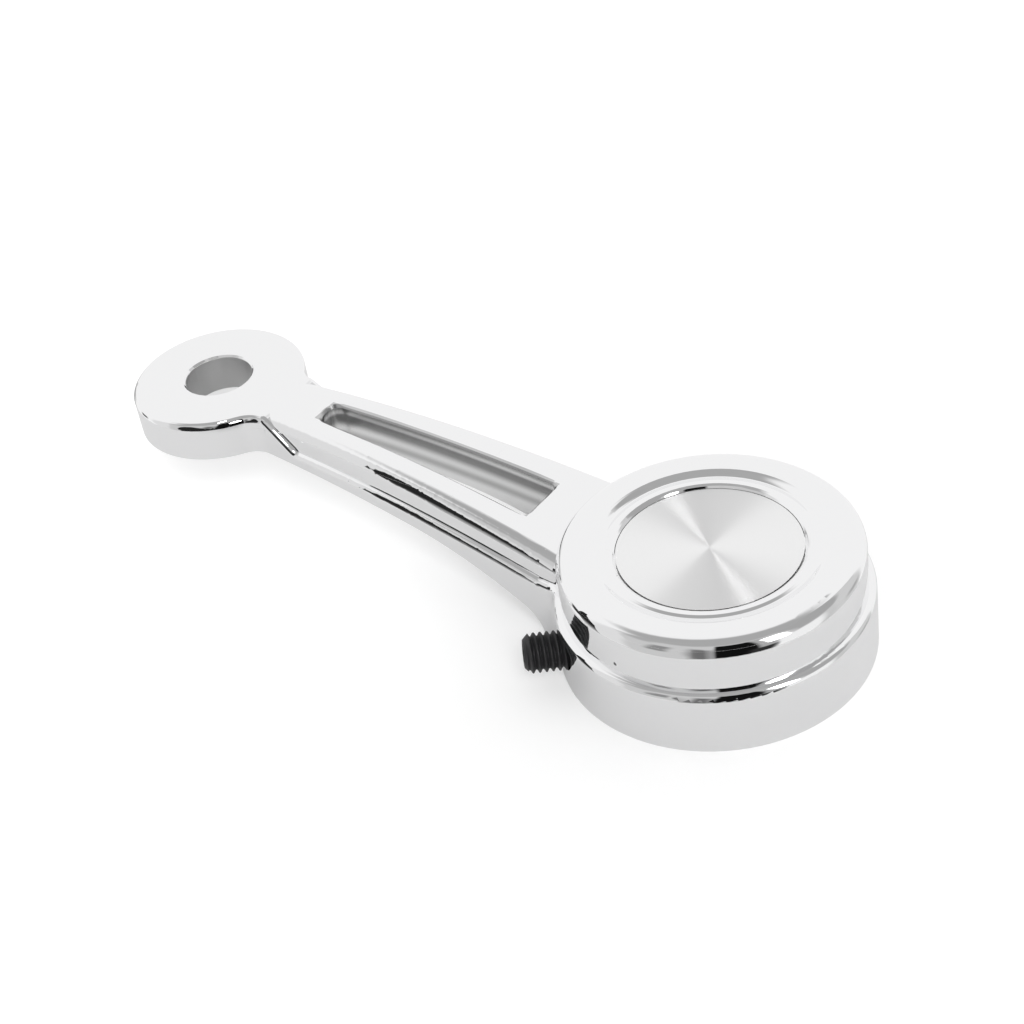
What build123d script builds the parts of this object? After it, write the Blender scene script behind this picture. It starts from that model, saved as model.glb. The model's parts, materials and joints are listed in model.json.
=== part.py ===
"""Slotted crank handle: a polished one-piece casting, its round face inlay and its set screw.

The hub stands on its flat base with the shaft's axis on Z, and the arm runs out along +X,
rising to the eye that carries the knob.  All sizes are in millimetres.
"""

from build123d import *
from math import atan, cos, degrees, radians, sin, sqrt, tan
import os

# --- hub ---------------------------------------------------------------------------------
hub_radius = 19.05              # lower tier, the widest part of the hub
shoulder_height = 8.38          # top of the lower tier
shoulder_width = 0.95           # step between the lower tier and the drum
drum_height = 14.92             # top of the outer ring
drum_round = 1.68               # rounding of the drum's top edge
ring_width = 4.10               # flat outer ring of the drum's face
slope_width = 1.05              # slope inside the outer ring
slope_drop = 0.35
lip_width = 1.33                # flat lip inside the slope
bevel_width = 0.52              # bevel from the lip down to the face inlay
bevel_drop = 0.38
disc_gap = 0.10                 # radial gap round the face inlay
disc_thickness = 0.80
bore_radius = 6.35              # blind bore for the shaft
bore_depth = 9.50
bore_chamfer = 0.40

# --- arm ---------------------------------------------------------------------------------
eye_distance = 77.80            # from the shaft's axis to the knob's axis
eye_radius = 11.80
eye_hole_radius = 4.55
eye_hole_chamfer = 0.30
arm_top = 15.81                 # top of the eye, level with the end of the arm
eye_thickness = 5.50
rim_round = 0.85                # rounded edge that runs round the lower tier and the eye
root_round = 2.20               # corners where the arm leaves the hub
neck_round = 3.50               # corners where the arm meets the eye
half_width_root = 8.30          # upper tier's half width, at the hub's edge
half_width_neck = 4.80          # upper tier's half width, at the neck
neck_distance = 64.80
top_arc_radius = 260.0          # long arc of the arm's top
top_arc_end = 62.90             # the top is level from here out to the eye
edge_round = 1.62               # rounding along the upper tier's top edges
ledge_depth = 3.75              # from the arm's top down to the ledge
ledge_width = 0.67              # how far the lower tier stands out past the upper one
tier_overlap = 1.00             # how far the upper tier is rooted in the lower one
ledge_blend = 6.00              # where the ledge levels out into the hub's shoulder
ramp_start = 60.00              # the ledge ramps up to the top from here
ramp_run = 5.20
ramp_blend = 1.50
underside_radius = 254.0        # long arc of the underside
underside_end = 70.50           # the underside is level from here out to the eye
flare_radius = 60.00            # the arm deepens towards the hub
flare_reach = 20.95             # from the hub's wall to the end of the flare
flare_fall = 22.3               # slope of the underside next to the hub, in degrees
cove_radius = 5.00              # cove between the underside and the hub's wall

# --- slot --------------------------------------------------------------------------------
slot_gap = 5.15                 # from the hub's wall to the slot
slot_end = 58.50
slot_half_start = 3.38          # half width at the hub's end
slot_half_end = 1.75            # half width at the eye's end
slot_corner = 0.80              # corners at the hub's end
slot_tip_round = 1.60           # corners at the eye's end
slot_chamfer = 0.40             # bevelled mouth

# --- set screw ---------------------------------------------------------------------------
thread_radius = 2.413           # 10-32 thread
thread_clearance = 0.06
screw_length = 7.94
screw_out = 4.60                # how far it stands out of the hub's wall at rest
screw_chamfer = 0.90
socket_across_flats = 2.38
socket_depth = 2.60
cup_radius = 1.20
cup_depth = 0.50
screw_angle = 51.6              # where it leaves the hub's wall, from +X towards +Y
screw_height = 5.25
screw_heading = 42.0            # the way it points, seen from above
screw_rise = 5.0                # the way it climbs outwards

# --- sizes that follow ---------------------------------------------------------------------
drum_radius = hub_radius - shoulder_width
ring_inner_radius = drum_radius - ring_width
slope_inner_radius = ring_inner_radius - slope_width
lip_radius = slope_inner_radius - lip_width
seat_radius = lip_radius - bevel_width
disc_radius = seat_radius - disc_gap
lip_height = drum_height - slope_drop
disc_top = lip_height - bevel_drop
disc_seat = disc_top - disc_thickness
eye_bottom = arm_top - eye_thickness
beyond = eye_distance + 2 * eye_radius
taper = (half_width_root - half_width_neck) / (neck_distance - hub_radius)

flare_end = hub_radius + flare_reach
slot_start = hub_radius + slot_gap

# The long arcs are corners between two straight runs, rounded by their radius.
top_fall = degrees(atan((top_arc_end - drum_radius) / top_arc_radius))
top_corner = top_arc_end - top_arc_radius * tan(radians(top_fall / 2))
underside_fall = degrees(atan((underside_end - flare_end) / underside_radius))
underside_corner = underside_end - underside_radius * tan(radians(underside_fall / 2))
flare_corner = flare_end - flare_radius * tan(radians((flare_fall - underside_fall) / 2))

screw_plane = Plane(
    origin=(
        hub_radius * cos(radians(screw_angle)),
        hub_radius * sin(radians(screw_angle)),
        screw_height,
    ),
    z_dir=(
        cos(radians(screw_rise)) * cos(radians(screw_heading)),
        cos(radians(screw_rise)) * sin(radians(screw_heading)),
        sin(radians(screw_rise)),
    ),
)


# Where the straight runs of the side view meet.
ledge_fall = arm_top - ledge_depth - shoulder_height
ledge_foot = top_arc_end - sqrt(ledge_fall * (2 * top_arc_radius - ledge_fall))
flare_height = eye_bottom - (underside_corner - flare_corner) * tan(radians(underside_fall))
cove_height = flare_height - (flare_corner - hub_radius) * tan(radians(flare_fall))
ramp_end = ramp_start + ramp_run
screw_reach = hub_radius * cos(radians(screw_angle - screw_heading))


def half_width(distance):
    """Half width of the arm's upper tier at a distance from the shaft's axis."""
    return half_width_root - taper * (distance - hub_radius)


def top_height(distance):
    """Height of the straight run that the arm's top follows next to the hub."""
    return arm_top - (top_corner - distance) * tan(radians(top_fall))


def arm_plan(end, growth=0.0):
    """Tapered plan of the arm from the shaft's axis out to a distance."""
    with BuildSketch(mode=Mode.PRIVATE) as plan:
        with BuildLine():
            Polyline(
                (0, half_width(0) + growth),
                (end, half_width(end) + growth),
                (end, -half_width(end) - growth),
                (0, -half_width(0) - growth),
                close=True,
            )
        make_face()
    return plan.sketch


def arm_side(drop, bottom):
    """Side view under the arm's top curve, lowered by a drop."""
    with BuildSketch(mode=Mode.PRIVATE) as side:
        with BuildLine():
            FilletPolyline(
                (-hub_radius, top_height(-hub_radius) - drop),
                (top_corner, arm_top - drop),
                (beyond, arm_top - drop),
                radius=top_arc_radius,
            )
            Polyline(
                (beyond, arm_top - drop),
                (beyond, bottom),
                (-hub_radius, bottom),
                (-hub_radius, top_height(-hub_radius) - drop),
            )
        make_face()
    return side.sketch


# --- upper tier of the arm, with its rounded top edges -------------------------------------
with BuildPart() as upper_arm:
    with BuildSketch() as upper_plan:
        Circle(drum_radius)
        add(arm_plan(eye_distance))
        roots = upper_plan.vertices().filter_by_position(Axis.X, hub_radius / 2, hub_radius)
        fillet(roots, radius=root_round)
    extrude(amount=arm_top)
    with BuildSketch(Plane.XZ):
        add(arm_side(0, 0))
        add(arm_side(ledge_depth + tier_overlap, 0), mode=Mode.SUBTRACT)
    extrude(amount=hub_radius, both=True, mode=Mode.INTERSECT)
    raised_edges = upper_arm.edges().filter_by_position(Axis.Z, shoulder_height, arm_top)
    fillet(raised_edges.sort_by(SortBy.LENGTH)[-2:], radius=edge_round)

# --- drum of the hub: outer ring, slope, lip, bevel and the seat of the face inlay ---------
with BuildPart() as drum:
    with BuildSketch(Plane.XZ) as drum_profile:
        with BuildLine():
            Polyline(
                (0, 0),
                (drum_radius, 0),
                (drum_radius, drum_height),
                (ring_inner_radius, drum_height),
                (slope_inner_radius, lip_height),
                (lip_radius, lip_height),
                (seat_radius, disc_top),
                (seat_radius, disc_seat),
                (0, disc_seat),
                close=True,
            )
        make_face()
        outer_corner = drum_profile.vertices().group_by(Axis.Y)[-1].sort_by(Axis.X)[-1]
        fillet(outer_corner, radius=drum_round)
    revolve(axis=Axis.Z)

# --- the whole casting -----------------------------------------------------------------------
with BuildPart() as crank_body:
    # Lower tier: hub, lower half of the arm, ramp and eye in one outline.
    with BuildSketch() as lower_plan:
        Circle(hub_radius)
        add(arm_plan(eye_distance, growth=ledge_width))
        with Locations((eye_distance, 0)):
            Circle(eye_radius)
        roots = lower_plan.vertices().filter_by_position(Axis.X, hub_radius / 2, hub_radius)
        fillet(roots, radius=root_round)
        necks = lower_plan.vertices().filter_by_position(Axis.X, neck_distance, eye_distance)
        fillet(necks, radius=neck_round)
    extrude(amount=arm_top)

    with BuildSketch(Plane.XZ) as lower_side:
        # Shoulder of the hub and the ledge along the arm.
        add(arm_side(ledge_depth, 0))
        with BuildLine():
            Polyline(
                (-hub_radius, 0),
                (-hub_radius, shoulder_height),
                (ledge_foot, shoulder_height),
                (ledge_foot, 0),
                close=True,
            )
        make_face()
        # Ramp and eye, the full height of the arm.
        with BuildLine():
            Polyline(
                (ramp_start - ramp_run, arm_top - 2 * ledge_depth),
                (ramp_end, arm_top),
                (beyond, arm_top),
                (beyond, 0),
                (ramp_start - ramp_run, 0),
                close=True,
            )
        make_face()
        for corner, blend in (
            ((ledge_foot, shoulder_height), ledge_blend),
            ((ramp_start, arm_top - ledge_depth), ramp_blend),
            ((ramp_end, arm_top), ramp_blend),
        ):
            fillet(lower_side.vertices().sort_by_distance(corner)[0], radius=blend)
        # Underside: level below the eye, then the long arc, the flare and the cove.
        with BuildLine():
            FilletPolyline(
                (beyond, eye_bottom),
                (underside_corner, eye_bottom),
                (flare_corner, flare_height),
                (hub_radius, cove_height),
                (hub_radius, -cove_radius),
                radius=[underside_radius, flare_radius, cove_radius],
            )
            Polyline(
                (hub_radius, -cove_radius),
                (beyond, -cove_radius),
                (beyond, eye_bottom),
            )
        make_face(mode=Mode.SUBTRACT)
    extrude(amount=hub_radius, both=True, mode=Mode.INTERSECT)
    top_arcs = crank_body.edges().filter_by(GeomType.CIRCLE).group_by(Axis.Z)[-1]
    fillet(top_arcs.sort_by(SortBy.LENGTH)[-1], radius=rim_round)

    add(upper_arm.part)
    add(drum.part)

    # Slot through the arm, narrowing towards the eye.
    with BuildSketch() as slot_plan:
        with BuildLine():
            Polyline(
                (slot_start, slot_half_start),
                (slot_end, slot_half_end),
                (slot_end, -slot_half_end),
                (slot_start, -slot_half_start),
                close=True,
            )
        make_face()
        fillet(slot_plan.vertices().group_by(Axis.X)[0], radius=slot_corner)
        fillet(slot_plan.vertices().group_by(Axis.X)[-1], radius=slot_tip_round)
    extrude(amount=arm_top, mode=Mode.SUBTRACT)
    slotted_face = crank_body.faces().filter_by(GeomType.CYLINDER).filter_by(
        lambda face: len(face.inner_wires()) == 1
    )[0]
    chamfer(slotted_face.inner_wires()[0].edges(), length=slot_chamfer)

    # Knob hole through the eye.
    with BuildSketch(Plane.XY.offset(arm_top)):
        with Locations((eye_distance, 0)):
            Circle(eye_hole_radius)
    extrude(amount=-eye_thickness, mode=Mode.SUBTRACT)
    eye_mouths = (
        crank_body.edges()
        .filter_by(GeomType.CIRCLE)
        .filter_by(lambda edge: abs(edge.radius - eye_hole_radius) < 0.01)
    )
    chamfer(eye_mouths, length=eye_hole_chamfer)

    # Blind bore for the shaft, open at the base.
    with BuildSketch():
        Circle(bore_radius)
    extrude(amount=bore_depth, mode=Mode.SUBTRACT)
    bore_mouth = (
        crank_body.edges()
        .filter_by(GeomType.CIRCLE)
        .filter_by(lambda edge: abs(edge.radius - bore_radius) < 0.01)
        .sort_by(Axis.Z)[0]
    )
    chamfer(bore_mouth, length=bore_chamfer)

    # Tapped hole, from outside the hub's wall into the bore.
    with BuildSketch(screw_plane.offset(screw_out)):
        Circle(thread_radius + thread_clearance)
    extrude(amount=-screw_out - screw_reach, mode=Mode.SUBTRACT)
crank_body.part.label = "crank_body"

# --- face inlay --------------------------------------------------------------------------------
with BuildPart() as face_disc:
    with BuildSketch(Plane.XY.offset(disc_seat)):
        Circle(disc_radius)
    extrude(amount=disc_thickness)
face_disc.part.label = "face_disc"

# --- set screw: hexagon socket outside, cup point inside ------------------------------------------
with BuildPart() as set_screw:
    with BuildSketch(screw_plane.offset(screw_out)):
        Circle(thread_radius)
    extrude(amount=-screw_length)
    chamfer(set_screw.edges().filter_by(GeomType.CIRCLE), length=screw_chamfer)
    with BuildSketch(screw_plane.offset(screw_out)):
        RegularPolygon(socket_across_flats / 2, 6, major_radius=False)
    extrude(amount=-socket_depth, mode=Mode.SUBTRACT)
    with BuildSketch(screw_plane.offset(screw_out - screw_length)):
        Circle(cup_radius)
    extrude(amount=cup_depth, taper=45, mode=Mode.SUBTRACT)
set_screw.part.label = "set_screw"

os.makedirs("parts", exist_ok=True)
for piece in (crank_body, face_disc, set_screw):
    export_step(piece.part, f"parts/{piece.part.label}.step")
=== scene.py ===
"""Dresses the slotted crank handle: polished chrome, a spun disc and a black threaded set screw."""

import json
import math

import bpy
from bpy.props import FloatProperty, FloatVectorProperty, PointerProperty
from mathutils import Matrix, Vector


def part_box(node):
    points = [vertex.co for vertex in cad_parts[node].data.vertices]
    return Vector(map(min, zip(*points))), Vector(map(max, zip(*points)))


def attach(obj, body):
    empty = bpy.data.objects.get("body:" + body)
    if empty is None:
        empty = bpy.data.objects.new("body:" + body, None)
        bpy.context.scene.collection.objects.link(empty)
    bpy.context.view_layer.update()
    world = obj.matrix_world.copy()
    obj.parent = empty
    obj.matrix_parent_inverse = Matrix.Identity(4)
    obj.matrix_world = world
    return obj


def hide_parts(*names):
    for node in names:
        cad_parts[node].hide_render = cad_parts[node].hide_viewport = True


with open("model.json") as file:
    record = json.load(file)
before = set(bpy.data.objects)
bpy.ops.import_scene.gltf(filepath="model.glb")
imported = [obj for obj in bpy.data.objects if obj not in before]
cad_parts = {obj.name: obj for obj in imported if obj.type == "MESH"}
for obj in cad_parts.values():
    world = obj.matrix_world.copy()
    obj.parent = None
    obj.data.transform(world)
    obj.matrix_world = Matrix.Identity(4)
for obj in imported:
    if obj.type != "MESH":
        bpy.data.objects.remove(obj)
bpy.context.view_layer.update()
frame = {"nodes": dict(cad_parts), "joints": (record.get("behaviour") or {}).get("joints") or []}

bl_info = {
    "name": "Crank Handle Finish",
    "version": (1, 0, 0),
    "blender": (4, 5, 0),
    "location": "3D View > Sidebar > Crank",
    "description": "Finishes a slotted crank handle and sets it on a pale studio floor",
    "category": "Object",
}

MM = 0.001
SCREW_LOW, SCREW_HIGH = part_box("set_screw")
DISC_LOW, DISC_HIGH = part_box("face_disc")
SCREW_AXIS = Vector(frame["joints"][0]["axis"])
BODY_LOW, BODY_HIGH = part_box("crank_body")

# Places on the casting that its finish follows.
HUB_RADIUS = -BODY_LOW.x
ARM_TOP = BODY_HIGH.z
EYE_RADIUS = 11.80 * MM
EYE_THICKNESS = 5.50 * MM
EYE_DISTANCE = BODY_HIGH.x - EYE_RADIUS
EYE_HOLE_RADIUS = 4.55 * MM
TOP_ARC_RADIUS = 260.0 * MM
TOP_ARC_END = 62.90 * MM
DISC_GAP = 0.10 * MM
SEAT_RADIUS = DISC_HIGH.x + DISC_GAP
RING_SETBACK = 5.05 * MM
RING_INNER = HUB_RADIUS - RING_SETBACK
BEAD_TOP = 12.20 * MM
BEAD_FOOT = 12.90 * MM
BEAD_HEIGHT = 0.21 * MM
BEVEL_HOLLOW = 0.06 * MM
SLOT_START = HUB_RADIUS + 5.15 * MM
SLOT_END = 58.50 * MM
SLOT_HALF_START = 3.38 * MM
SLOT_HALF_END = 1.75 * MM
# How far past the slot's walls and ends, and past the bore's wall, their finish is let in.
SLOT_SIDE_MARGIN = 0.2 * MM
SLOT_END_MARGIN = 0.3 * MM
BORE_MARGIN = 0.05 * MM
# Where the bevel starts to hollow and where it is full, from the seat's edge.
BEVEL_START = -0.05 * MM
BEVEL_END = 0.30 * MM
# The relief is on the drum's face alone, from just under the disc's top upwards.
FACE_MARGIN = 0.05 * MM

# Painted bands of shade and reflection on the slot's walls, standing in for light bounced down the
# slot: (depth under the arm's top in millimetres, brightness).
PAINTED_SLOT_BANDS = (
    (0.0, 0.60),
    (0.45, 0.45),
    (1.05, 0.85),
    (1.6, 0.30),
    (2.2, 0.32),
    (3.5, 0.88),
    (4.5, 0.55),
    (5.6, 0.95),
    (7.5, 0.93),
)

# Dark wedge beside the arm: (x, z) outline in millimetres, where its foot fades and both tones. The
# fade is painted shade on the table round the wedge, as polished metal sees it.
WEDGE_OUTLINE = (
    (84.5, -45.0),
    (84.5, 44.0),
    (79.0, 51.0),
    (70.0, 36.0),
    (58.0, 23.0),
    (46.0, 13.0),
    (46.0, -45.0),
)
WEDGE_FOOT = 6 * MM
WEDGE_TOE = -32 * MM
WEDGE_DARK = 0.02
WEDGE_PALE = 0.60

# Small lamps that shine one way: name, place, direction and radius.
LAMPS = (
    ("studio_lamp_neck", (0.0600, 0.0130, 0.0220), (0.876, -0.39, -0.28), 2.2 * MM),
    ("studio_lamp_rim", (0.0702, 0.0086, 0.0230), (0.90, 0.00, -0.40), 1.4 * MM),
)
LAMP_SIDES = 32

# Floor: where the glow changes from the hub's to the eye's, and how softly the table ends.
GLOW_HUB_END = 15 * MM
GLOW_EYE_START = 60 * MM
TABLE_FADE = 2 * MM

# Shade under the knob's bore.
SHADE_DROP = 0.3 * MM
SHADE_MARGIN = 1.5 * MM
SHADE_SIDES = 48

# One pitch of the screw's thread: (drop from the crest as a part of the depth, place in the pitch).
THREAD_OUTLINE = (
    (1.00, 0.00),
    (0.95, 0.10),
    (0.75, 0.20),
    (0.22, 0.36),
    (0.03, 0.45),
    (0.03, 0.61),
    (0.22, 0.70),
    (0.75, 0.86),
    (1.00, 1.00),
)
THREAD_DEPTH = 0.56  # of the pitch
THREAD_STEPS = 64
# Turns wound past the screw's length, and where the length starts in them, in pitches.
SPARE_TURNS = 3
FIRST_TURN = 1.6
# The blank that trims the thread is wider than it by this part of its radius.
BLANK_EXCESS = 0.2
SMOOTH_ANGLE = 35.0

# Pit in the plating on the drum's wall.
PIT_PLACE = (0.00180, 0.01801, 0.00986)
PIT_RADIUS = 0.30 * MM
PIT_DEPTH = 0.06 * MM


# --- sizes and colours -----------------------------------------------------------------


class CRANK_PG_finish(bpy.types.PropertyGroup):
    """Colours of the plated casting and of the spun disc."""

    plate_colour: FloatVectorProperty(
        name="Plate colour",
        description="Reflectance of the chrome plate",
        subtype="COLOR",
        default=(0.93, 0.93, 0.935),
        min=0.0,
        max=1.0,
    )
    plate_roughness: FloatProperty(
        name="Plate roughness",
        description="Roughness of the polished plate",
        default=0.035,
        min=0.0,
        max=1.0,
    )
    slot_roughness: FloatProperty(
        name="Slot roughness",
        description="Roughness of the slot's walls, which the polishing wheel misses",
        default=0.20,
        min=0.0,
        max=1.0,
    )
    bore_colour: FloatVectorProperty(
        name="Bore colour",
        description="Reflectance of the knob's bore",
        subtype="COLOR",
        default=(0.56, 0.56, 0.56),
        min=0.0,
        max=1.0,
    )
    bore_roughness: FloatProperty(
        name="Bore roughness",
        description="Roughness of the knob's bore",
        default=0.50,
        min=0.0,
        max=1.0,
    )
    pit_colour: FloatVectorProperty(
        name="Pit colour",
        description="Reflectance of the pit in the plating",
        subtype="COLOR",
        default=(0.12, 0.12, 0.12),
        min=0.0,
        max=1.0,
    )
    wave_length: FloatProperty(
        name="Wave length",
        description="Width of the faint waves left by polishing",
        unit="LENGTH",
        default=7.0 * MM,
    )
    wave_height: FloatProperty(
        name="Wave height",
        description="Height of the faint waves left by polishing",
        unit="LENGTH",
        default=0.008 * MM,
    )
    disc_roughness: FloatProperty(
        name="Disc roughness",
        description="Roughness of the spun disc",
        default=0.30,
        min=0.0,
        max=1.0,
    )
    disc_colour: FloatVectorProperty(
        name="Disc colour",
        description="Reflectance of the spun disc",
        subtype="COLOR",
        default=(0.95, 0.95, 0.95),
        min=0.0,
        max=1.0,
    )


class CRANK_PG_screw(bpy.types.PropertyGroup):
    """Sizes of the set screw."""

    radius: FloatProperty(
        name="Radius",
        description="Outer radius of the thread",
        unit="LENGTH",
        default=2.413 * MM,
    )
    length: FloatProperty(
        name="Length",
        description="Overall length",
        unit="LENGTH",
        default=7.94 * MM,
    )
    pitch: FloatProperty(
        name="Pitch",
        description="Distance from one crest of the thread to the next",
        unit="LENGTH",
        default=25.4 / 32 * MM,
    )
    end_chamfer: FloatProperty(
        name="End chamfer",
        description="Chamfer at both ends",
        unit="LENGTH",
        default=0.72 * MM,
    )
    socket_flats: FloatProperty(
        name="Socket across flats",
        description="Width of the hexagon socket",
        unit="LENGTH",
        default=2.38 * MM,
    )
    socket_depth: FloatProperty(
        name="Socket depth",
        description="Depth of the hexagon socket",
        unit="LENGTH",
        default=2.60 * MM,
    )
    colour: FloatVectorProperty(
        name="Colour",
        description="Colour of the black oxide",
        subtype="COLOR",
        default=(0.014, 0.014, 0.015),
        min=0.0,
        max=1.0,
    )


class CRANK_PG_studio(bpy.types.PropertyGroup):
    """Camera, floor and light."""

    camera_place: FloatVectorProperty(
        name="Camera place",
        description="Where the camera stands",
        subtype="TRANSLATION",
        unit="LENGTH",
        default=(-0.10274, 0.14819, 0.16240),
    )
    camera_aim: FloatVectorProperty(
        name="Camera aim",
        description="Forward direction of the camera",
        subtype="DIRECTION",
        default=(0.526446, -0.590861, -0.611341),
    )
    camera_right: FloatVectorProperty(
        name="Camera right",
        description="Direction of the picture's right edge",
        subtype="DIRECTION",
        default=(-0.804257, -0.579276, -0.132703),
    )
    lens: FloatProperty(
        name="Focal length",
        description="Focal length on a 36 mm sensor, in millimetres",
        default=70.44,
    )
    floor_tone: FloatProperty(
        name="Floor tone",
        description="Reflectance of the floor",
        default=0.74,
    )
    floor_glow: FloatProperty(
        name="Floor glow",
        description="Light that the floor adds where the camera sees it, beside the hub",
        default=0.28,
    )
    floor_glow_eye: FloatProperty(
        name="Floor glow at the eye",
        description="Light that the floor adds where the camera sees it, beside the eye",
        default=0.43,
    )
    bore_shade: FloatProperty(
        name="Bore shade",
        description="Share of the floor's light that is missing where it shows through the bore",
        default=0.25,
    )
    table_hub: FloatProperty(
        name="Table round the hub",
        description="How far from the hub's axis polished metal sees the table",
        unit="LENGTH",
        default=38 * MM,
    )
    table_eye: FloatProperty(
        name="Table round the eye",
        description="How far from the eye's axis polished metal sees the table",
        unit="LENGTH",
        default=35 * MM,
    )
    table_arm: FloatProperty(
        name="Table beside the arm",
        description="How far from the arm's middle line polished metal sees the table",
        unit="LENGTH",
        default=21 * MM,
    )
    wedge_distance: FloatProperty(
        name="Wedge distance",
        description="How far from the arm's middle line the dark wedge stands",
        unit="LENGTH",
        default=50 * MM,
    )
    lamp_strength: FloatProperty(
        name="Lamp strength",
        description="Brightness of the small lamps that the eye and neck mirror",
        default=9.0,
    )
    floor_size: FloatProperty(
        name="Floor size",
        description="Side of the square floor",
        unit="LENGTH",
        default=6.0,
    )


# --- helpers ------------------------------------------------------------------------------


def start_clean():
    """Leaves edit mode and deselects everything."""
    if bpy.context.mode != "OBJECT":
        bpy.ops.object.mode_set(mode="OBJECT")
    bpy.ops.object.select_all(action="DESELECT")


def named(obj, name):
    """Gives an object and its data one name."""
    obj.name = name
    obj.data.name = name
    return obj


def make_material(name):
    """A new node material: returns the material, its tree and its Principled BSDF."""
    material = bpy.data.materials.new(name)
    material.use_nodes = True
    tree = material.node_tree
    return material, tree, tree.nodes["Principled BSDF"]


def dress(obj, material):
    """Puts one material in an object's only slot."""
    obj.data.materials.clear()
    obj.data.materials.append(material)


def draw_outline(name, start, steps):
    """A line of edges from start, one vertex extruded by each step; it is left in edit mode."""
    bpy.ops.mesh.primitive_plane_add(size=1.0)
    line = named(bpy.context.object, name)
    bpy.ops.object.mode_set(mode="EDIT")
    bpy.ops.mesh.select_all(action="SELECT")
    bpy.ops.mesh.merge(type="CENTER")
    bpy.ops.transform.translate(value=start)
    for step in steps:
        bpy.ops.mesh.extrude_vertices_move(TRANSFORM_OT_translate={"value": step})
    return line


def mirror_only(obj):
    """Makes a piece of the stage that only polished metal sees."""
    obj.visible_camera = False
    obj.visible_diffuse = False
    obj.visible_shadow = False


class Nodes:
    """Short ways to add and join the nodes of one tree."""

    def __init__(self, tree):
        self.tree = tree

    def add(self, kind, **settings):
        """Adds a node and sets its properties."""
        node = self.tree.nodes.new(kind)
        for name, value in settings.items():
            setattr(node, name, value)
        return node

    def feed(self, node, key, value):
        """Links an output to an input, or sets the input to a constant."""
        if isinstance(value, bpy.types.NodeSocket):
            self.tree.links.new(value, node.inputs[key])
        else:
            node.inputs[key].default_value = value

    def math(self, operation, *values):
        """Output of a Math node."""
        node = self.add("ShaderNodeMath", operation=operation)
        for index, value in enumerate(values):
            self.feed(node, index, value)
        return node.outputs[0]

    def ramp(self, value, low, high):
        """Rises smoothly from 0 to 1 as value goes from low to high."""
        node = self.add("ShaderNodeMapRange", interpolation_type="SMOOTHSTEP")
        self.feed(node, "Value", value)
        self.feed(node, "From Min", low)
        self.feed(node, "From Max", high)
        return node.outputs["Result"]

    def mix(self, factor, first, second):
        """Number between first and second."""
        node = self.add("ShaderNodeMix")
        self.feed(node, "Factor", factor)
        self.feed(node, "A", first)
        self.feed(node, "B", second)
        return node.outputs["Result"]

    def length(self, first, second):
        """Length of a flat vector."""
        squares = [self.math("MULTIPLY", side, side) for side in (first, second)]
        return self.math("SQRT", self.math("ADD", *squares))

    def colour_mix(self, factor, first, second):
        """Colour between first and second."""
        node = self.add("ShaderNodeMix", data_type="RGBA")
        self.feed(node, 0, factor)
        self.feed(node, 6, first)
        self.feed(node, 7, second)
        return node.outputs[2]

    def split(self, vector):
        """X, Y and Z of a vector."""
        node = self.add("ShaderNodeSeparateXYZ")
        self.feed(node, 0, vector)
        return node.outputs[0], node.outputs[1], node.outputs[2]


# --- materials ---------------------------------------------------------------------------


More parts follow.
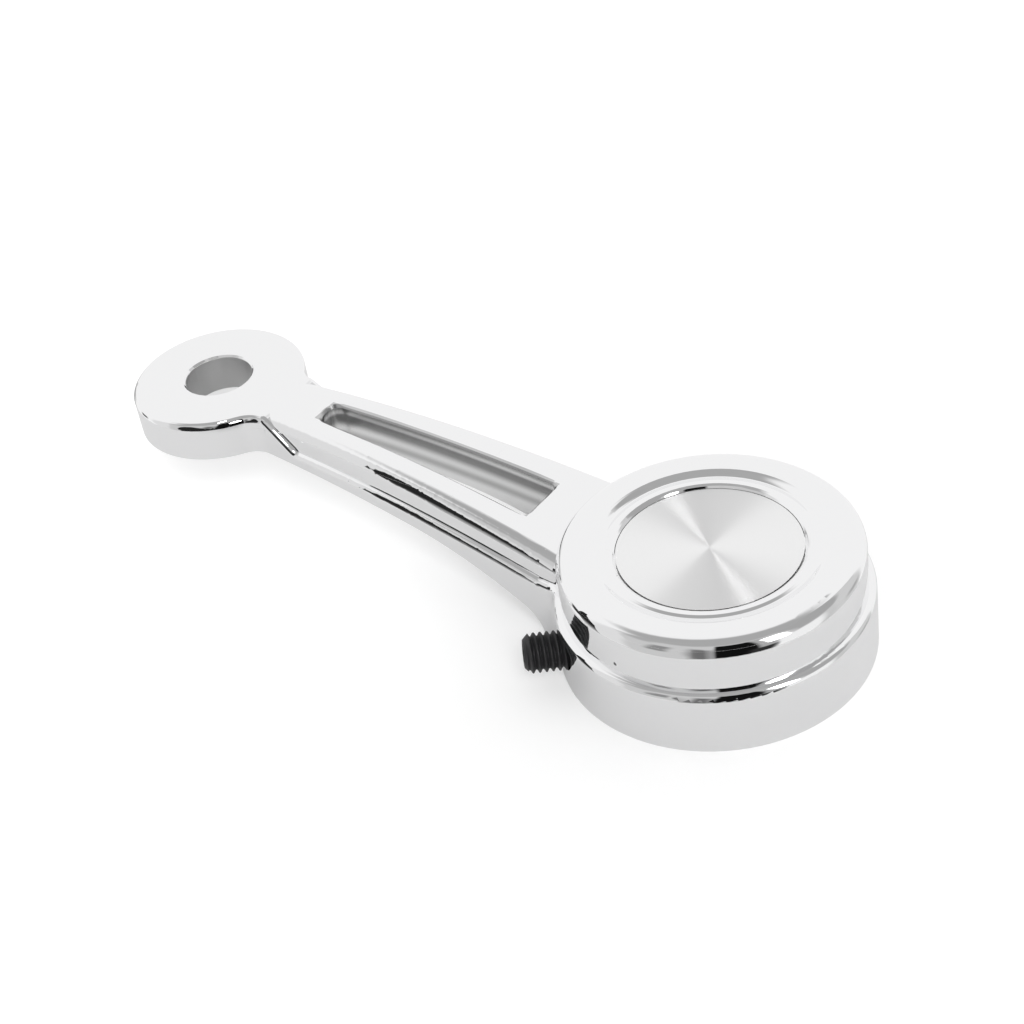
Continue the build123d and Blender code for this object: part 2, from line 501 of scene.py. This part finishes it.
def casting_zones_group():
    """Node group: masks of the slot, bore and pit, the slot's depth and the face's relief."""
    group = bpy.data.node_groups.new("casting_zones", "ShaderNodeTree")
    for name in ("Slot", "Slot Depth", "Bore", "Ring Relief", "Pit"):
        group.interface.new_socket(name=name, in_out="OUTPUT", socket_type="NodeSocketFloat")
    tree = Nodes(group)
    x, y, z = tree.split(tree.add("ShaderNodeTexCoord").outputs["Object"])

    # The arm's top follows a long arc up to the level stretch next to the eye.
    before_level = tree.math("MAXIMUM", tree.math("SUBTRACT", TOP_ARC_END, x), 0.0)
    level_squared = tree.math("MULTIPLY", before_level, before_level)
    fall = tree.math("DIVIDE", level_squared, 2 * TOP_ARC_RADIUS)
    depth = tree.math("SUBTRACT", tree.math("SUBTRACT", ARM_TOP, fall), z)

    narrowing = (SLOT_HALF_START - SLOT_HALF_END) / (SLOT_END - SLOT_START)
    from_start = tree.math("SUBTRACT", x, SLOT_START)
    half_width = SLOT_HALF_START + SLOT_SIDE_MARGIN
    half = tree.math("MULTIPLY_ADD", from_start, -narrowing, half_width)
    inside = tree.math("LESS_THAN", tree.math("ABSOLUTE", y), half)
    half_length = (SLOT_END - SLOT_START) / 2 + SLOT_END_MARGIN
    along = tree.math("COMPARE", x, (SLOT_START + SLOT_END) / 2, half_length)
    slot = tree.math("MULTIPLY", inside, along)

    from_eye = tree.math("SUBTRACT", x, EYE_DISTANCE)
    eye_squared = tree.math("MULTIPLY", from_eye, from_eye)
    squared = tree.math("ADD", eye_squared, tree.math("MULTIPLY", y, y))
    bore = tree.math("LESS_THAN", squared, (EYE_HOLE_RADIUS + BORE_MARGIN) ** 2)

    # Turned bead on the drum's face: its outer flank, the groove outside it and the bevel's foot.
    radius = tree.length(x, y)
    flank = tree.ramp(radius, BEAD_TOP, BEAD_FOOT)
    groove = tree.ramp(radius, BEAD_FOOT, RING_INNER)
    foot = tree.ramp(radius, SEAT_RADIUS + BEVEL_START, SEAT_RADIUS + BEVEL_END)
    bead = tree.math("MULTIPLY", tree.math("SUBTRACT", groove, flank), BEAD_HEIGHT)
    relief = tree.math("MULTIPLY_ADD", foot, BEVEL_HOLLOW, bead)
    on_face = tree.math("GREATER_THAN", z, DISC_HIGH.z - FACE_MARGIN)
    relief = tree.math("MULTIPLY", relief, on_face)

    pit_x, pit_y, pit_z = (
        tree.math("SUBTRACT", side, place) for side, place in zip((x, y, z), PIT_PLACE)
    )
    to_pit = tree.length(tree.length(pit_x, pit_z), pit_y)
    pit = tree.math("SUBTRACT", 1.0, tree.ramp(to_pit, 0.4 * PIT_RADIUS, PIT_RADIUS))

    result = tree.add("NodeGroupOutput")
    tree.feed(result, "Ring Relief", tree.math("MULTIPLY_ADD", pit, -PIT_DEPTH, relief))
    tree.feed(result, "Pit", pit)
    tree.feed(result, "Slot", slot)
    tree.feed(result, "Slot Depth", depth)
    tree.feed(result, "Bore", bore)
    return group


def chrome_material(finish):
    """Polished chrome plate, duller in the slot, whose walls carry painted bands of shade and
    reflection, satin in the knob's bore and dark in the pit.
    """
    material, tree, shader = make_material("polished_chrome")
    nodes = Nodes(tree)
    zones = nodes.add("ShaderNodeGroup", node_tree=casting_zones_group())

    # Painted shade and reflection: bands of brightness down the slot's walls, set by depth.
    slot_shade_bands = nodes.add("ShaderNodeValToRGB")
    slot_shade_bands.color_ramp.interpolation = "EASE"
    stops = slot_shade_bands.color_ramp.elements
    deepest = PAINTED_SLOT_BANDS[-1][0]
    for place, level in PAINTED_SLOT_BANDS[1:-1]:
        stops.new(place / deepest).color = (level, level, level, 1.0)
    for stop, (place, level) in ((stops[0], PAINTED_SLOT_BANDS[0]), (stops[-1], PAINTED_SLOT_BANDS[-1])):
        stop.color = (level, level, level, 1.0)
    nodes.feed(slot_shade_bands, "Fac", nodes.math("DIVIDE", zones.outputs["Slot Depth"], deepest * MM))

    chrome = (*finish.plate_colour, 1.0)
    plate = nodes.colour_mix(zones.outputs["Slot"], chrome, slot_shade_bands.outputs["Color"])
    plate = nodes.colour_mix(zones.outputs["Bore"], plate, (*finish.bore_colour, 1.0))
    plate = nodes.colour_mix(zones.outputs["Pit"], plate, (*finish.pit_colour, 1.0))
    nodes.feed(shader, "Base Color", plate)
    rough = nodes.mix(zones.outputs["Slot"], finish.plate_roughness, finish.slot_roughness)
    nodes.feed(shader, "Roughness", nodes.mix(zones.outputs["Bore"], rough, finish.bore_roughness))
    shader.inputs["Metallic"].default_value = 1.0

    waves = nodes.add("ShaderNodeTexNoise")
    nodes.feed(waves, "Vector", nodes.add("ShaderNodeTexCoord").outputs["Object"])
    nodes.feed(waves, "Scale", 1.0 / finish.wave_length)
    nodes.feed(waves, "Detail", 1.0)
    ring_relief = zones.outputs["Ring Relief"]
    relief = nodes.math("MULTIPLY_ADD", waves.outputs["Fac"], finish.wave_height, ring_relief)
    bump = nodes.add("ShaderNodeBump")
    nodes.feed(bump, "Height", relief)
    nodes.feed(bump, "Strength", 1.0)
    nodes.feed(bump, "Distance", 1.0)
    nodes.feed(shader, "Normal", bump.outputs["Normal"])
    return material


def disc_material(finish):
    """Spun aluminium disc: the highlight runs outwards, across the turning marks."""
    material, tree, shader = make_material("spun_disc")
    nodes = Nodes(tree)
    shader.inputs["Base Color"].default_value = (*finish.disc_colour, 1.0)
    shader.inputs["Metallic"].default_value = 1.0
    shader.inputs["Roughness"].default_value = finish.disc_roughness
    shader.inputs["Anisotropic"].default_value = 1.0
    shader.inputs["Anisotropic Rotation"].default_value = 0.25
    tangent = nodes.add("ShaderNodeTangent", direction_type="RADIAL", axis="Z")
    nodes.feed(shader, "Tangent", tangent.outputs[0])
    return material


def black_oxide_material(screw):
    """Black oxide on steel."""
    material, tree, shader = make_material("black_oxide")
    shader.inputs["Base Color"].default_value = (*screw.colour, 1.0)
    shader.inputs["Roughness"].default_value = 0.5
    return material


# --- light -----------------------------------------------------------------------------------

# Matt surfaces are lit by an even sky and by a soft sun from behind the camera.
SKY_BRIGHTNESS = 0.80
SUN_STRENGTH = 1.00
SUN_AZIMUTH = 140.0
SUN_HEIGHT = 45.0
SUN_SOFTNESS = 20.0

# What polished metal sees round the set. Each card is (name, centre azimuth, half width, lowest
# and highest elevation, slant, softness, brightness), with angles in degrees, and a later card
# covers an earlier one.
ROOM_BRIGHTNESS = 0.60
CEILING_HEIGHT = 61.0
CEILING_SOFTNESS = 5.0
CEILING_BRIGHTNESS = 0.41
CARDS = (
    ("white_sweep", -43.0, 87.0, -90.0, 57.0, 0.0, 5.0, 0.94),
    ("sweep_edge", 48.0, 13.0, -90.0, 38.0, 1.4, 5.0, 0.76),
    ("grey_screen", -150.0, 30.0, 22.0, 64.0, 0.0, 4.0, 0.40),
    ("grey_corner", -135.0, 15.0, -90.0, 35.0, -1.0, 4.0, 0.64),
    ("corner_shade", -131.0, 7.0, -16.0, -2.0, 0.0, 5.0, 0.42),
    ("white_wall", 181.0, 18.0, -90.0, 18.0, 0.0, 5.0, 0.92),
    ("grey_edge", 155.0, 8.0, -90.0, 58.0, 0.0, 3.0, 0.42),
    ("soft_box", 166.0, 7.0, 18.0, 47.0, 0.0, 3.0, 13.0),
    ("side_panel", 83.0, 7.0, 3.0, 40.0, 0.0, 4.0, 0.28),
    ("low_case", 112.0, 8.0, -90.0, 36.0, 0.8, 7.0, 0.16),
    ("dark_screen", 136.0, 15.0, -90.0, 57.0, 0.0, 2.5, 0.006),
    ("dark_foot", 154.0, 9.0, -90.0, -6.0, 0.0, 4.0, 0.03),
    ("side_shade", -14.0, 8.0, -28.0, 8.0, 0.0, 6.0, 0.40),
    ("skirting", 20.5, 5.5, -14.0, 2.0, 0.0, 2.5, 0.03),
    ("ceiling_slope", 52.0, 14.0, 46.0, 90.0, 0.0, 7.0, 0.42),
)


CARD_INPUTS = ("Centre", "Half Width", "Low", "High", "Slant", "Softness")


def card_group():
    """Node group: how far a direction lies inside a soft-edged card, from 0 to 1."""
    group = bpy.data.node_groups.new("studio_card", "ShaderNodeTree")
    for name in ("Azimuth", "Elevation", *CARD_INPUTS):
        group.interface.new_socket(name=name, in_out="INPUT", socket_type="NodeSocketFloat")
    group.interface.new_socket(name="Mask", in_out="OUTPUT", socket_type="NodeSocketFloat")
    tree = Nodes(group)
    given = tree.add("NodeGroupInput")

    def soft_step(value, edge):
        """Rises from 0 to 1 as value passes edge."""
        low = tree.math("SUBTRACT", edge, given.outputs["Softness"])
        high = tree.math("ADD", edge, given.outputs["Softness"])
        return tree.ramp(value, low, high)

    turned = tree.math("SUBTRACT", given.outputs["Azimuth"], given.outputs["Centre"])
    aside = tree.math("WRAP", turned, 180.0, -180.0)
    outside = soft_step(tree.math("ABSOLUTE", aside), given.outputs["Half Width"])
    elevation = given.outputs["Elevation"]
    height = tree.math("MULTIPLY_ADD", aside, given.outputs["Slant"], elevation)
    above_low = soft_step(height, given.outputs["Low"])
    above_high = soft_step(height, given.outputs["High"])
    upright = tree.math("MULTIPLY", above_low, tree.math("SUBTRACT", 1.0, above_high))
    mask = tree.math("MULTIPLY", tree.math("SUBTRACT", 1.0, outside), upright)
    tree.feed(tree.add("NodeGroupOutput"), "Mask", mask)
    return group


def light_world(scene):
    """Plain white light for matt surfaces and the background, and the room for polished ones."""
    world = bpy.data.worlds.new("studio_world")
    scene.world = world
    world.use_nodes = True
    tree = Nodes(world.node_tree)
    direction = tree.add("ShaderNodeTexCoord").outputs["Generated"]
    x, y, z = tree.split(direction)
    azimuth = tree.math("DEGREES", tree.math("ARCTAN2", y, x))
    elevation = tree.math("DEGREES", tree.math("ARCSINE", z))
    lower_edge = CEILING_HEIGHT - CEILING_SOFTNESS
    ceiling = tree.ramp(elevation, lower_edge, CEILING_HEIGHT + CEILING_SOFTNESS)
    brightness = tree.mix(ceiling, ROOM_BRIGHTNESS, CEILING_BRIGHTNESS)

    group = card_group()
    for name, *angles, level in CARDS:
        card = tree.add("ShaderNodeGroup", node_tree=group, name=name)
        tree.feed(card, "Azimuth", azimuth)
        tree.feed(card, "Elevation", elevation)
        for key, value in zip(CARD_INPUTS, angles):
            tree.feed(card, key, value)
        brightness = tree.mix(card.outputs["Mask"], brightness, level)

    ray = tree.add("ShaderNodeLightPath")
    seen = tree.mix(ray.outputs["Is Glossy Ray"], 1.0, brightness)
    sky = tree.mix(ray.outputs["Is Diffuse Ray"], seen, SKY_BRIGHTNESS)
    tree.feed(world.node_tree.nodes["Background"], "Color", sky)


# --- operators -----------------------------------------------------------------------------


class CRANK_OT_dress_body(bpy.types.Operator):
    """Gives the casting its polished chrome"""

    bl_idname = "crank.dress_body"
    bl_label = "Dress Body"

    def execute(self, context):
        dress(frame["nodes"]["crank_body"], chrome_material(context.scene.crank_finish))
        return {"FINISHED"}


class CRANK_OT_dress_disc(bpy.types.Operator):
    """Gives the face disc its spun finish"""

    bl_idname = "crank.dress_disc"
    bl_label = "Dress Disc"

    def execute(self, context):
        dress(frame["nodes"]["face_disc"], disc_material(context.scene.crank_finish))
        return {"FINISHED"}


def thread_profile(screw):
    """One pitch of the thread as (radius, height) points."""
    depth = THREAD_DEPTH * screw.pitch
    return [(screw.radius - drop * depth, place * screw.pitch) for drop, place in THREAD_OUTLINE]


class CRANK_OT_make_screw(bpy.types.Operator):
    """Cuts the set screw's thread, chamfers and socket"""

    bl_idname = "crank.make_screw"
    bl_label = "Make Set Screw"

    def execute(self, context):
        screw = context.scene.crank_screw
        start_clean()

        # Profile of one pitch, wound up into a thread.
        points = thread_profile(screw)
        steps = [(r1 - r0, 0.0, z1 - z0) for (r0, z0), (r1, z1) in zip(points, points[1:])]
        piece = draw_outline("set_screw_thread", (points[0][0], 0.0, points[0][1]), steps)
        bpy.ops.object.mode_set(mode="OBJECT")
        winding = piece.modifiers.new("Thread", "SCREW")
        winding.axis = "Z"
        winding.steps = THREAD_STEPS
        winding.render_steps = THREAD_STEPS
        winding.screw_offset = screw.pitch
        winding.iterations = math.ceil(screw.length / screw.pitch) + SPARE_TURNS
        winding.use_merge_vertices = True
        bpy.ops.object.modifier_apply(modifier="Thread")
        bpy.ops.object.mode_set(mode="EDIT")
        bpy.ops.mesh.select_all(action="SELECT")
        bpy.ops.mesh.remove_doubles(threshold=0.001 * MM)

        # The open ends are closed, so that the cuts below work on a solid.
        bpy.ops.mesh.select_all(action="DESELECT")
        bpy.ops.mesh.select_mode(type="EDGE")
        bpy.ops.mesh.select_non_manifold()
        bpy.ops.mesh.fill_holes(sides=0)
        bpy.ops.mesh.select_mode(type="VERT")
        bpy.ops.mesh.select_all(action="SELECT")
        bpy.ops.mesh.normals_make_consistent(inside=False)
        middle = FIRST_TURN * screw.pitch + screw.length / 2
        bpy.ops.transform.translate(value=(0.0, 0.0, -middle))
        bpy.ops.object.mode_set(mode="OBJECT")

        # Chamfered blank that trims the thread's ends.
        start_clean()
        bpy.ops.mesh.primitive_cylinder_add(
            vertices=THREAD_STEPS,
            radius=(1.0 + BLANK_EXCESS) * screw.radius,
            depth=screw.length,
        )
        blank = context.object
        chamfer = blank.modifiers.new("Chamfer", "BEVEL")
        chamfer.width = screw.end_chamfer + BLANK_EXCESS * screw.radius
        chamfer.segments = 1
        bpy.ops.object.modifier_apply(modifier="Chamfer")
        start_clean()
        bpy.ops.mesh.primitive_cylinder_add(
            vertices=6,
            radius=screw.socket_flats / math.sqrt(3.0),
            depth=2 * screw.socket_depth,
            location=(0.0, 0.0, screw.length / 2),
        )
        socket = context.object
        start_clean()
        context.view_layer.objects.active = piece
        piece.select_set(True)
        for tool, operation in ((blank, "INTERSECT"), (socket, "DIFFERENCE")):
            cut = piece.modifiers.new("Cut", "BOOLEAN")
            cut.operation = operation
            cut.solver = "EXACT"
            cut.object = tool
            bpy.ops.object.modifier_apply(modifier="Cut")
            bpy.data.objects.remove(tool)
        bpy.ops.object.shade_smooth_by_angle(angle=math.radians(SMOOTH_ANGLE))

        centre = (SCREW_LOW + SCREW_HIGH) / 2
        turn = SCREW_AXIS.to_track_quat("Z", "Y").to_matrix().to_4x4()
        piece.matrix_world = Matrix.Translation(centre) @ turn
        bpy.ops.object.transform_apply(location=True, rotation=True, scale=True)
        dress(piece, black_oxide_material(screw))
        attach(piece, "screw")
        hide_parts("set_screw")
        return {"FINISHED"}


def make_floor(studio):
    """Pale floor; polished metal sees it only near the object, and the room past that."""
    start_clean()
    bpy.ops.mesh.primitive_plane_add(size=studio.floor_size, location=(0.0, 0.0, 0.0))
    floor = named(bpy.context.object, "studio_floor")
    material, tree, shader = make_material("studio_floor")
    nodes = Nodes(tree)
    shader.inputs["Base Color"].default_value = (*(studio.floor_tone,) * 3, 1.0)
    shader.inputs["Roughness"].default_value = 1.0
    shader.inputs["Specular IOR Level"].default_value = 0.0
    shader.inputs["Emission Color"].default_value = (1.0, 1.0, 1.0, 1.0)
    ray = nodes.add("ShaderNodeLightPath")
    x, y, z = nodes.split(nodes.add("ShaderNodeTexCoord").outputs["Object"])
    beside_eye = nodes.ramp(x, GLOW_HUB_END, GLOW_EYE_START)
    spill = nodes.mix(beside_eye, studio.floor_glow, studio.floor_glow_eye)
    glow = nodes.math("MULTIPLY", ray.outputs["Is Camera Ray"], spill)
    nodes.feed(shader, "Emission Strength", glow)

    from_eye = nodes.math("SUBTRACT", x, EYE_DISTANCE)
    to_hub = nodes.math("SUBTRACT", nodes.length(x, y), studio.table_hub)
    to_eye = nodes.math("SUBTRACT", nodes.length(from_eye, y), studio.table_eye)
    off_middle = nodes.math("ABSOLUTE", nodes.math("SUBTRACT", x, EYE_DISTANCE / 2))
    past_end = nodes.math("MAXIMUM", nodes.math("SUBTRACT", off_middle, EYE_DISTANCE / 2), 0.0)
    to_arm = nodes.math("SUBTRACT", nodes.length(past_end, y), studio.table_arm)
    nearest = nodes.math("MINIMUM", nodes.math("MINIMUM", to_hub, to_eye), to_arm)
    beyond = nodes.ramp(nearest, -TABLE_FADE, TABLE_FADE)
    hidden = nodes.math("MULTIPLY", beyond, ray.outputs["Is Glossy Ray"])
    nodes.feed(shader, "Alpha", nodes.math("SUBTRACT", 1.0, hidden))
    dress(floor, material)


def make_bore_shade(studio):
    """Thin shade under the knob's bore, seen only through it."""
    start_clean()
    bpy.ops.mesh.primitive_circle_add(
        vertices=SHADE_SIDES,
        radius=EYE_HOLE_RADIUS + SHADE_MARGIN,
        fill_type="NGON",
        location=(EYE_DISTANCE, 0.0, ARM_TOP - EYE_THICKNESS - SHADE_DROP),
    )
    shade = named(bpy.context.object, "studio_bore_shade")
    material, tree, shader = make_material("studio_bore_shade")
    shader.inputs["Base Color"].default_value = (0.0, 0.0, 0.0, 1.0)
    shader.inputs["Specular IOR Level"].default_value = 0.0
    shader.inputs["Alpha"].default_value = studio.bore_shade
    dress(shade, material)
    shade.visible_diffuse = False
    shade.visible_glossy = False
    shade.visible_shadow = False


def make_wedge(studio):
    """Dark wedge beside the arm; its foot fades to the table's colour, a painted shade on the table
    round the wedge as polished metal sees it.
    """
    start_clean()
    first_x, first_z = WEDGE_OUTLINE[0]
    steps = [
        ((x1 - x0) * MM, 0.0, (z1 - z0) * MM)
        for (x0, z0), (x1, z1) in zip(WEDGE_OUTLINE, WEDGE_OUTLINE[1:])
    ]
    start = (first_x * MM, studio.wedge_distance, first_z * MM)
    wedge = draw_outline("studio_wedge", start, steps)
    bpy.ops.mesh.select_all(action="SELECT")
    bpy.ops.mesh.edge_face_add()
    bpy.ops.object.mode_set(mode="OBJECT")
    material, tree, shader = make_material("studio_wedge")
    nodes = Nodes(tree)
    x, y, z = nodes.split(nodes.add("ShaderNodeTexCoord").outputs["Object"])
    shader.inputs["Base Color"].default_value = (0.0, 0.0, 0.0, 1.0)
    shader.inputs["Specular IOR Level"].default_value = 0.0
    shader.inputs["Emission Strength"].default_value = 1.0
    # Painted shade: the foot grades from dark near the wedge to the table's tone, like its shadow
    # on the table.
    fade = nodes.ramp(z, WEDGE_FOOT, WEDGE_TOE)
    nodes.feed(shader, "Emission Color", nodes.mix(fade, WEDGE_DARK, WEDGE_PALE))
    dress(wedge, material)
    mirror_only(wedge)


def make_lamp(name, place, facing, radius, strength):
    """Small round lamp that shines and is seen from its front only."""
    start_clean()
    bpy.ops.mesh.primitive_circle_add(
        vertices=LAMP_SIDES,
        radius=radius,
        fill_type="NGON",
        location=place,
        rotation=Vector(facing).to_track_quat("Z", "Y").to_euler(),
    )
    lamp = named(bpy.context.object, name)
    material, tree, shader = make_material(name)
    nodes = Nodes(tree)
    back = nodes.add("ShaderNodeNewGeometry").outputs["Backfacing"]
    nodes.feed(shader, "Alpha", nodes.math("SUBTRACT", 1.0, back))
    shader.inputs["Base Color"].default_value = (0.0, 0.0, 0.0, 1.0)
    shader.inputs["Emission Color"].default_value = (1.0, 1.0, 1.0, 1.0)
    shader.inputs["Emission Strength"].default_value = strength
    dress(lamp, material)
    mirror_only(lamp)


def make_sun():
    """Soft sun that matt surfaces see and polished ones don't."""
    bpy.ops.object.light_add(type="SUN", location=(0.0, 0.0, 0.5))
    sun = named(bpy.context.object, "studio_sun")
    sun.data.energy = SUN_STRENGTH
    sun.data.angle = math.radians(SUN_SOFTNESS)
    sun.rotation_euler = (0.0, math.radians(90.0 - SUN_HEIGHT), math.radians(SUN_AZIMUTH))
    sun.visible_glossy = False


def make_camera(context, studio):
    """Camera at the studio's place, looking along its aim."""
    camera_data = bpy.data.cameras.new("studio_camera")
    camera_data.lens = studio.lens
    camera_data.sensor_width = 36.0
    camera_data.clip_start = 0.01
    camera = bpy.data.objects.new("studio_camera", camera_data)
    context.collection.objects.link(camera)
    forward = Vector(studio.camera_aim).normalized()
    right = Vector(studio.camera_right).normalized()
    up = right.cross(forward)
    turn = Matrix((right, up, -forward)).transposed()
    camera.matrix_world = Matrix.Translation(studio.camera_place) @ turn.to_4x4()
    context.scene.camera = camera


class CRANK_OT_make_stage(bpy.types.Operator):
    """Sets the floor, the light and the camera"""

    bl_idname = "crank.make_stage"
    bl_label = "Make Stage"

    def execute(self, context):
        studio = context.scene.crank_studio
        make_floor(studio)
        make_bore_shade(studio)
        make_wedge(studio)
        for name, place, facing, radius in LAMPS:
            make_lamp(name, place, facing, radius, studio.lamp_strength)
        light_world(context.scene)
        make_sun()
        make_camera(context, studio)
        context.scene.view_settings.view_transform = "Standard"
        return {"FINISHED"}


class CRANK_PT_panel(bpy.types.Panel):
    """Lists the steps in the order in which they run"""

    bl_label = "Crank Handle"
    bl_space_type = "VIEW_3D"
    bl_region_type = "UI"
    bl_category = "Crank"

    def draw(self, context):
        for operator in STEPS:
            self.layout.operator(operator.bl_idname)


STEPS = (
    CRANK_OT_dress_body,
    CRANK_OT_dress_disc,
    CRANK_OT_make_screw,
    CRANK_OT_make_stage,
)
GROUPS = (CRANK_PG_finish, CRANK_PG_screw, CRANK_PG_studio)
CLASSES = GROUPS + STEPS + (CRANK_PT_panel,)


def register():
    """Registers the classes and hangs the settings on the scene."""
    for cls in CLASSES:
        bpy.utils.register_class(cls)
    bpy.types.Scene.crank_finish = PointerProperty(type=CRANK_PG_finish)
    bpy.types.Scene.crank_screw = PointerProperty(type=CRANK_PG_screw)
    bpy.types.Scene.crank_studio = PointerProperty(type=CRANK_PG_studio)


def unregister():
    """Removes the settings and the classes."""
    del bpy.types.Scene.crank_studio
    del bpy.types.Scene.crank_screw
    del bpy.types.Scene.crank_finish
    for cls in reversed(CLASSES):
        bpy.utils.unregister_class(cls)


def main():
    """Runs every step."""
    register()
    bpy.ops.crank.dress_body()
    bpy.ops.crank.dress_disc()
    bpy.ops.crank.make_screw()
    bpy.ops.crank.make_stage()


if __name__ == "__main__":
    main()
